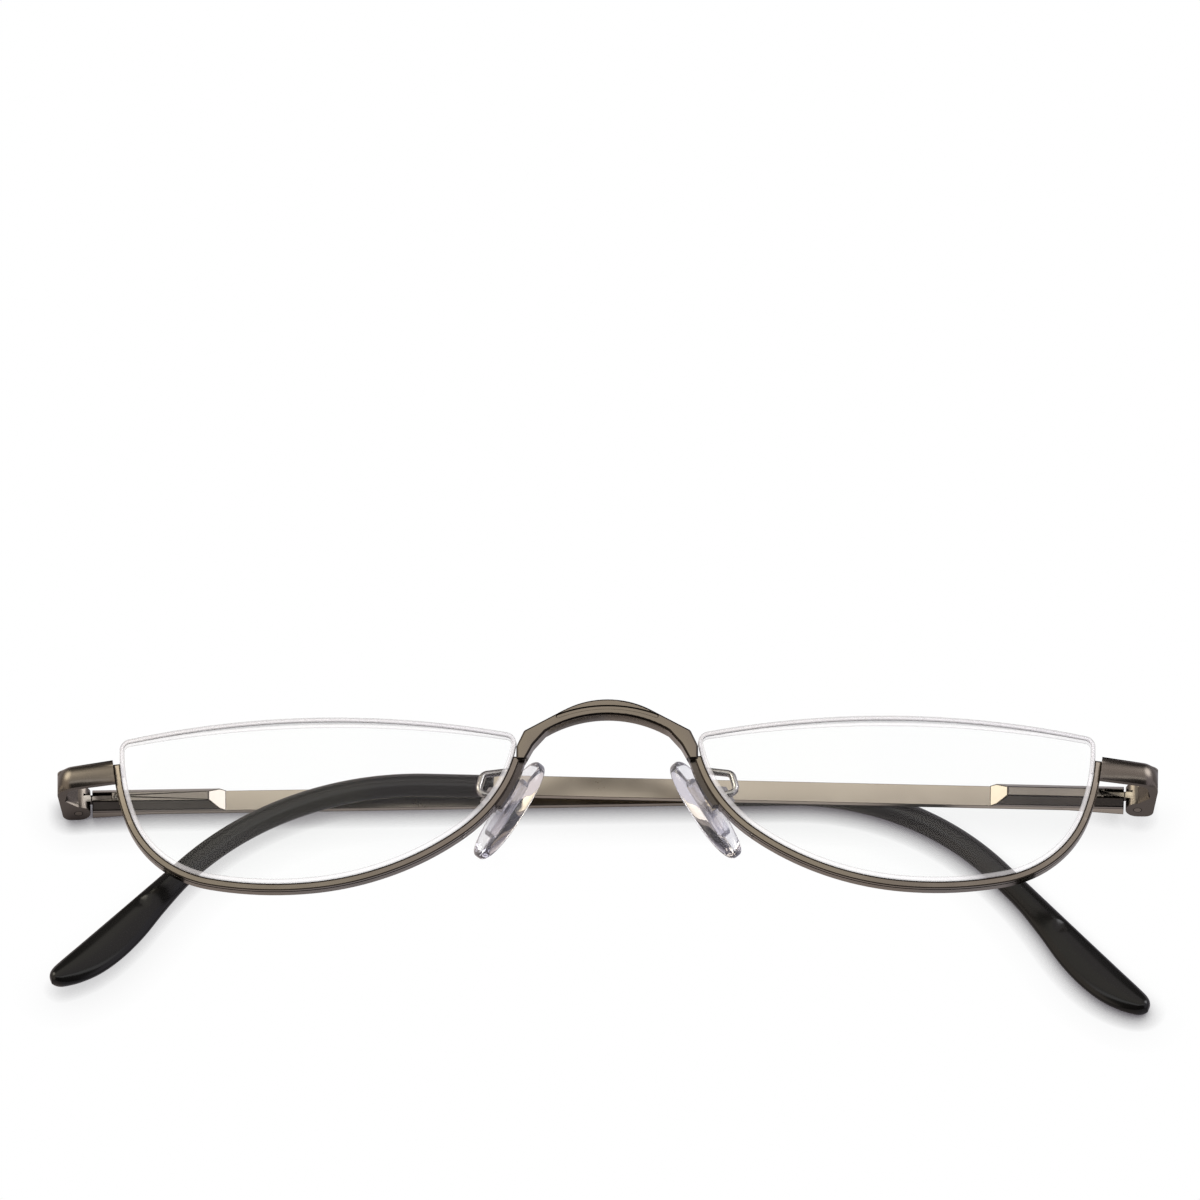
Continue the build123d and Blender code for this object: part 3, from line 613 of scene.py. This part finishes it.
def makeNosePad(name, side):
    frontal, vertical, splay = (radians(pad[key]) for key in ("frontal", "vertical", "splay"))
    long = Vector((-sin(frontal) * cos(vertical), cos(frontal) * cos(vertical), sin(vertical)))
    outward = Vector((-cos(splay), 0, -sin(splay)))
    facing = (outward - long * outward.dot(long)).normalized()
    centre = Vector((pad["apart"], -pad["drop"], pad["forward"]))
    place = makePlace(long, facing.cross(long), facing, centre)
    place = frontFrame @ Matrix.Diagonal((side, 1, 1, 1)) @ place
    form = bmesh.new()
    bmesh.ops.create_uvsphere(form, u_segments=pad["segments"], v_segments=pad["rings"], radius=1)
    for vert in form.verts:
        reach = hypot(vert.co.x, vert.co.y)
        along, sideways = (squareOff(part / max(reach, 1e-6), pad["square"]) for part in vert.co.xy)
        reach = reach ** pad["edge"]
        lift = copysign(abs(vert.co.z) ** (1 / pad["square"]), vert.co.z) * pad["halfThickness"]
        lift += pad["crown"] * (0.5 - reach**2)
        along, sideways = along * reach * pad["halfLength"], sideways * reach * pad["halfWidth"]
        vert.co = place @ Vector((along, sideways, lift))
    bmesh.ops.recalc_face_normals(form, faces=form.faces)
    angle, look = pad["smoothAngle"], clears["padSilicone"]
    piece = finishPiece(form, "nosePad" + name.title(), "nose_pad_" + name, look, angle=angle)
    piece.visible_shadow = False
    return piece


# Spring inside each box: a coil of one length, which in the real glasses is pressed together as the temple
# is drawn out
coil = {
    "start": 4.86 * mm,
    "length": 5.38 * mm,
    "height": 0.62 * mm,
    "radius": 0.34 * mm,
    "wireRadius": 0.08 * mm,
    "turns": 9,
    "stepsPerTurn": 20,
    "sides": 8,
    "keep": 0.77,
    "smoothAngle": 60,
}


def makeCoil(name, side):
    place = findTempleFrame(name, side)
    wireRadius = coil["wireRadius"]
    start = place @ Vector((coil["start"] + wireRadius, 0, coil["height"]))
    slide = place.col[0].xyz
    wire = place @ Matrix.Translation((coil["start"] + wireRadius, 0, coil["height"] + coil["radius"]))
    upright = Matrix.Rotation(pi / 2, 4, "Y") @ Matrix.Rotation(pi / 2, 4, "X")
    form = bmesh.new()
    ring = bmesh.ops.create_circle(form, cap_ends=True, segments=coil["sides"], radius=wireRadius)["verts"]
    bmesh.ops.transform(form, matrix=wire @ upright, verts=ring)
    steps = coil["turns"] * coil["stepsPerTurn"]
    rise = slide * (coil["length"] - 2 * wireRadius) / steps
    fullTurn = 2 * pi * coil["turns"]
    everything = form.verts[:] + form.edges[:] + form.faces[:]
    bmesh.ops.spin(form, geom=everything, cent=start, axis=slide, dvec=rise, angle=fullTurn, steps=steps)
    bmesh.ops.recalc_face_normals(form, faces=form.faces)
    angle, look = coil["smoothAngle"], steels["bright"]
    piece = finishPiece(form, "coilSpring" + name.title(), "hinge_spring_" + name, look, angle=angle)
    name + "_spring_travel"
    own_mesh(piece)
    return piece


# Lens: the CAD form with a ground ring just inside its edge, on both faces
lens = {
    "frontRadius": 110 * mm,
    "backRadius": 160 * mm,
    "thickness": 2.1 * mm,
    "line": 0.12 * mm,
    "ring": 0.34 * mm,
    "gap": 22.4 * mm,
    "width": 50 * mm,
    "drop": 5.9 * mm,
    "forward": 10.3 * mm,
    "tilt": 8.0,
    "wrap": 2.0,
    "tolerance": 0.02 * mm,
    "leastAlong": 0.97,
    "cuts": 3,
    "smoothAngle": 25,
}


def findLensFrame(side):
    place = Matrix.Translation(((lens["gap"] + lens["width"]) / 2, -lens["drop"], lens["forward"]))
    turn = Matrix.Rotation(radians(lens["tilt"]), 4, "X") @ Matrix.Rotation(radians(lens["wrap"]), 4, "Y")
    return frontFrame @ Matrix.Diagonal((side, 1, 1, 1)) @ place @ turn


def isOnSphere(corners, middle, normal, centre, radius):
    outward = (middle - centre).normalized()
    onSphere = all(abs((corner - centre).length - radius) < lens["tolerance"] for corner in corners)
    return onSphere and abs(outward.dot(normal)) > lens["leastAlong"]


def ringFace(form, centre, radius, index):     # line, ring and line, then the clear middle
    patch = []
    for face in form.faces:
        corners = [vert.co for vert in face.verts]
        if isOnSphere(corners, face.calc_center_median(), face.normal, centre, radius):
            patch.append(face)
    whole = bmesh.ops.dissolve_faces(form, faces=patch)["region"][0]
    for width, ringIndex in ((lens["line"], 3), (lens["ring"], 4), (lens["line"], 3)):
        inset = bmesh.ops.inset_individual(
            form, faces=[whole], thickness=width, depth=0, use_even_offset=True
        )
        for face in inset["faces"]:
            face.material_index = ringIndex
    whole.material_index = index
    inner = set(bmesh.ops.triangulate(form, faces=[whole], ngon_method="BEAUTY")["faces"])
    innerEdges = [edge for edge in form.edges if edge.link_faces and inner.issuperset(edge.link_faces)]
    bmesh.ops.subdivide_edges(form, edges=innerEdges, cuts=lens["cuts"], use_grid_fill=True)
    middle = [face for face in form.faces if face.material_index == index]
    edges = {edge for face in middle for vert in face.verts for edge in vert.link_edges}
    for vert in {vert for edge in edges for vert in edge.verts}:
        vert.co = centre + (vert.co - centre).normalized() * radius


def makeLens(name, side):
    node = "lens_" + name
    form = startCopy(node)
    place = findLensFrame(side)
    front = place @ Vector((0, 0, -lens["frontRadius"])), lens["frontRadius"]
    back = place @ Vector((0, 0, -lens["thickness"] - lens["backRadius"])), lens["backRadius"]
    ringFace(form, *front, 1)
    ringFace(form, *back, 2)
    looks = [clears[look] for look in ("lensWall", "lensClear", "lensClear", "lensLine", "lensRing")]
    piece = finishPiece(form, node + "Finished", node, *looks, angle=lens["smoothAngle"])
    roundNormals(piece.data, front, back)
    piece.visible_shadow = False
    return piece


def roundNormals(mesh, *spheres):     # each face of the lens is shaded as the sphere it is cut from
    normals = [Vector() for _ in mesh.loops]
    for face in mesh.polygons:
        corners = {loop: mesh.vertices[mesh.loops[loop].vertex_index].co for loop in face.loop_indices}
        for centre, radius in spheres:
            if isOnSphere(corners.values(), face.center, face.normal, centre, radius):
                outward = (face.center - centre).dot(face.normal)
                for loop, corner in corners.items():
                    normals[loop] = (corner - centre).normalized() * copysign(1, outward)
    mesh.normals_split_custom_set(normals)


# Sleeve: rings along the temple's route, crowned on top, with a low ridge over the metal core
sleeve = {
    "mouth": 81 * mm,
    "length": 65.5 * mm,
    "bendStart": 89.3 * mm,
    "bendRadius": {"left": 34 * mm, "right": 40 * mm},
    "bendAngle": {"left": 49.5, "right": 47.0},
    "barThickness": 0.8 * mm,
    "halfWidth": 1.6 * mm,
    "grow": 1.9 * mm,
    "halfHeight": 1.1 * mm,
    "coreEnd": 129.5 * mm,
    "ridge": 0.10 * mm,
    "ridgeHalfWidth": 0.95 * mm,
    "dent": 0.13 * mm,
    "square": 2.5,
    "crown": 0.24,
    "segments": 40,
    "rings": 150,
    "endRound": 0.985,
    "endLeast": 0.02,
    "mouthRound": 0.22 * mm,
    "mouthStep": (0.3, 0.35),
    "ridgeEnd": 0.8 * mm,
    "dentRadius": 1.1 * mm,
    "least": 0.02 * mm,
    "endCrowding": 1.6,
    "smoothAngle": 60,
}
# Each side of the sleeve: share of its length, then of its half width and of the paddle's extra width
sleeveLower = [
    (0, 1, 0), (0.3, 1, 0), (0.58, 1, 0), (0.66, 1, 0.06), (0.735, 1, 0.42), (0.8, 1, 0.84), (0.85, 1, 1),
    (0.89, 1, 0.97), (0.925, 1, 0.78), (0.958, 1, 0.38), (0.98, 0.86, 0.06), (0.993, 0.46, 0), (1, -0.1, 0),
]
sleeveUpper = [
    (0, 1, 0), (0.5, 1, 0), (0.9, 1, 0), (0.958, 1, 0), (0.98, 0.92, 0), (0.993, 0.62, 0), (1, 0.1, 0),
]


def readProfile(profile, share):     # a smooth curve through the profile's points
    values = [half * sleeve["halfWidth"] + grow * sleeve["grow"] for _, half, grow in profile]
    shares = [point[0] for point in profile]
    last = len(profile) - 1
    step = next((place for place in range(last) if share <= shares[place + 1]), last - 1)
    slopes = []
    for place in (step, step + 1):
        before, after = max(place - 1, 0), min(place + 1, last)
        slopes.append((values[after] - values[before]) / (shares[after] - shares[before]))
    run = shares[step + 1] - shares[step]
    t = (share - shares[step]) / run
    start, end = values[step], values[step + 1]
    curve = (2 * t**3 - 3 * t**2 + 1) * start + (t**3 - 2 * t**2 + t) * run * slopes[0]
    return curve + (3 * t**2 - 2 * t**3) * end + (t**3 - t**2) * run * slopes[1]


def findOnRoute(name, distance, sideways):     # straight, round the bend and straight again
    radius = sleeve["bendRadius"][name]
    fullTurn = radians(sleeve["bendAngle"][name])
    turned = min(max((distance - sleeve["bendStart"]) / radius, 0), fullTurn)
    after = max(distance - sleeve["bendStart"] - radius * fullTurn, 0)
    across = min(distance, sleeve["bendStart"]) + radius * sin(turned)
    across += after * cos(turned) - sideways * sin(turned)
    drop = radius * (1 - cos(turned)) + after * sin(turned) + sideways * cos(turned)
    return across, drop


def findTempleFrame(name, side):
    fold = joints[name + "_temple_fold"]
    slide = Vector(joints[name + "_spring_travel"]["axis"]).normalized()
    towardsTop = Vector(fold["axis"]) * -side
    up = slide.cross(towardsTop) * -side
    return makePlace(slide, towardsTop, up, Vector(fold["pos_m"]))


def placeRing(ring, name, place, share, shrink):
    distance = sleeve["mouth"] + share * sleeve["length"]
    lower, upper = readProfile(sleeveLower, share), readProfile(sleeveUpper, share)
    middle, half = (lower - upper) / 2, max((lower + upper) / 2 - shrink, sleeve["least"])
    past = max(share - sleeve["endRound"], 0) / (1 - sleeve["endRound"])
    rounded = sqrt(max(1 - past**2, sleeve["endLeast"]))
    height = max(sleeve["halfHeight"] * rounded - shrink, sleeve["least"])
    pastCore = distance - sleeve["coreEnd"]
    alongRidge = 1 - smoothStep(pastCore / sleeve["ridgeEnd"])
    for index, vert in enumerate(ring):
        turn = 2 * pi * index / len(ring)
        sideShare, upShare = squareOff(cos(turn), sleeve["square"]), squareOff(sin(turn), sleeve["square"])
        sideways = middle + half * sideShare
        lift = height * upShare
        if upShare > 0:
            lift -= height * sleeve["crown"] * upShare * sideShare**2
            fromMiddle = abs(sideways) / sleeve["ridgeHalfWidth"]
            lift -= sleeve["ridge"] * (1 - alongRidge * (1 - smoothStep(fromMiddle * 2 - 1)))
            fromDent = hypot(pastCore - sleeve["dentRadius"], sideways) / sleeve["dentRadius"]
            lift -= sleeve["dent"] * (1 - smoothStep(fromDent))
        across, drop = findOnRoute(name, distance, sideways)
        vert.co = place @ Vector((across, -drop, lift - sleeve["barThickness"] / 2))


def makeSleeve(name, side):
    node = "temple_tip_" + name
    place = findTempleFrame(name, side)
    form = bmesh.new()
    ring = bmesh.ops.create_circle(form, segments=sleeve["segments"], radius=sleeve["halfWidth"])["verts"]
    mouthRound = sleeve["mouthRound"]
    mouthShare = mouthRound / sleeve["length"]
    along, inward = sleeve["mouthStep"]
    stations = [(0, mouthRound), (mouthShare * along, mouthRound * inward), (mouthShare, 0)]
    for index in range(1, sleeve["rings"] + 1):
        left = (1 - index / sleeve["rings"]) ** sleeve["endCrowding"]
        stations.append((mouthShare + (1 - mouthShare) * (1 - left), 0))
    placeRing(ring, name, place, *stations[0])
    cap = form.faces.new(ring)
    rim = cap.edges[:]
    for share, shrink in stations[1:]:
        extruded = bmesh.ops.extrude_edge_only(form, edges=rim)["geom"]
        ring = sorted((v for v in extruded if isinstance(v, bmesh.types.BMVert)), key=lambda v: v.index)
        edges = (edge for edge in extruded if isinstance(edge, bmesh.types.BMEdge))
        rim = [edge for edge in edges if all(vert in ring for vert in edge.verts)]
        placeRing(ring, name, place, share, shrink)
    form.faces.new(ring)
    bmesh.ops.recalc_face_normals(form, faces=form.faces)
    return finishPiece(form, node + "Finished", node, sleevePlastic, angle=sleeve["smoothAngle"])


# Endpiece: its face is crowned from edge to edge, down to just above the hinge, and its plating is a darker
# tone, as painted shade
endpieceCrown = {
    "halfHeight": 1.6 * mm,
    "sag": 0.8 * mm,
    "cuts": 15,
    "fade": 0.7,
    "lowest": 2.6 * mm,
    "widest": 0.97,
    "flat": 0.98,
    "smoothAngle": 40,
}


def makeEndpiece(name, side):
    node = "endpiece_" + name
    form = startCopy(node)
    towardsTop = Vector(joints[name + "_temple_fold"]["axis"]).normalized() * -side
    slide = Vector(joints[name + "_spring_travel"]["axis"]).normalized()
    up = slide.cross(towardsTop) * -side
    hinge = Vector(joints[name + "_temple_fold"]["pos_m"])
    half = endpieceCrown["halfHeight"]
    for cut in range(1, endpieceCrown["cuts"]):
        level = half * (2 * cut / endpieceCrown["cuts"] - 1)
        everything = form.verts[:] + form.edges[:] + form.faces[:]
        point = hinge + towardsTop * level
        bmesh.ops.bisect_plane(form, geom=everything, plane_co=point, plane_no=towardsTop)
    form.normal_update()
    moves = []
    for vert in form.verts:
        away = vert.co - hinge
        facing = vert.normal - towardsTop * vert.normal.dot(towardsTop)
        if facing.length > 0 and away.dot(up) > endpieceCrown["lowest"]:
            facing.normalize()
            share = min(abs(away.dot(towardsTop)) / half, 1) * endpieceCrown["widest"]
            amount = smoothStep(facing.dot(up) / endpieceCrown["fade"]) * (1 - sqrt(1 - share**2))
            moves.append((vert, facing * -endpieceCrown["sag"] * amount))
    for vert, move in moves:
        vert.co += move
    form.normal_update()
    flatSides = [face for face in form.faces if abs(face.normal.dot(towardsTop)) > endpieceCrown["flat"]]
    angle = endpieceCrown["smoothAngle"]
    return finishPiece(form, node + "Finished", node, metals["strap"], angle=angle, crisp=flatSides)


addStudio()
addCamera()
for name, settings in lamps.items():
    addLamp(name, **settings)
addTable()
print("studio ready")

metals = {name: makeGunmetal(name, **look) for name, look in gunmetal.items()}
metal, paintedEdgeShade = metals["front"], metals["line"]
steels = {name: makeSteel(name, **look) for name, look in steelLook.items()}
clears = {name: makeSeeThrough(name, **look) for name, look in seeThrough.items()}
sleevePlastic = makeSleevePlastic()
ownMetal = {"temple_bar": metals["bar"], "spring_box": metals["box"]}
ownMetal["hinge_link"] = steels["link"]
finishes = {"gunmetal": metal, "steel": steels["bright"]}
finishes.update(nylon=clears["nylon"], pad_core=clears["padCore"])
print("materials ready")

for node, slot in slotOf.items():
    name = node.rpartition("_")[2]
    kind = node.removesuffix("_" + name) if name in sides else node
    if kind == "lens":
        makeLens(name, sides[name])
    elif kind == "temple_tip":
        makeSleeve(name, sides[name])
    elif kind == "endpiece":
        makeEndpiece(name, sides[name])
    elif kind == "pad_arm":
        makePadArm(node)
    elif kind == "nose_pad":
        makeNosePad(name, sides[name])
    elif kind == "hinge_spring":
        makeCoil(name, sides[name])
    elif kind in border:
        makeBordered(node, kind)
    elif kind in facets["line"]:
        makeFacetted(node, kind, ownMetal.get(kind, metal))
    else:
        copyNode(node, ownMetal.get(kind) or finishes[slot])
print("pieces finished")

scene = bpy.context.scene
scene.view_settings.view_transform = "Standard"
bpy.context.view_layer.update()
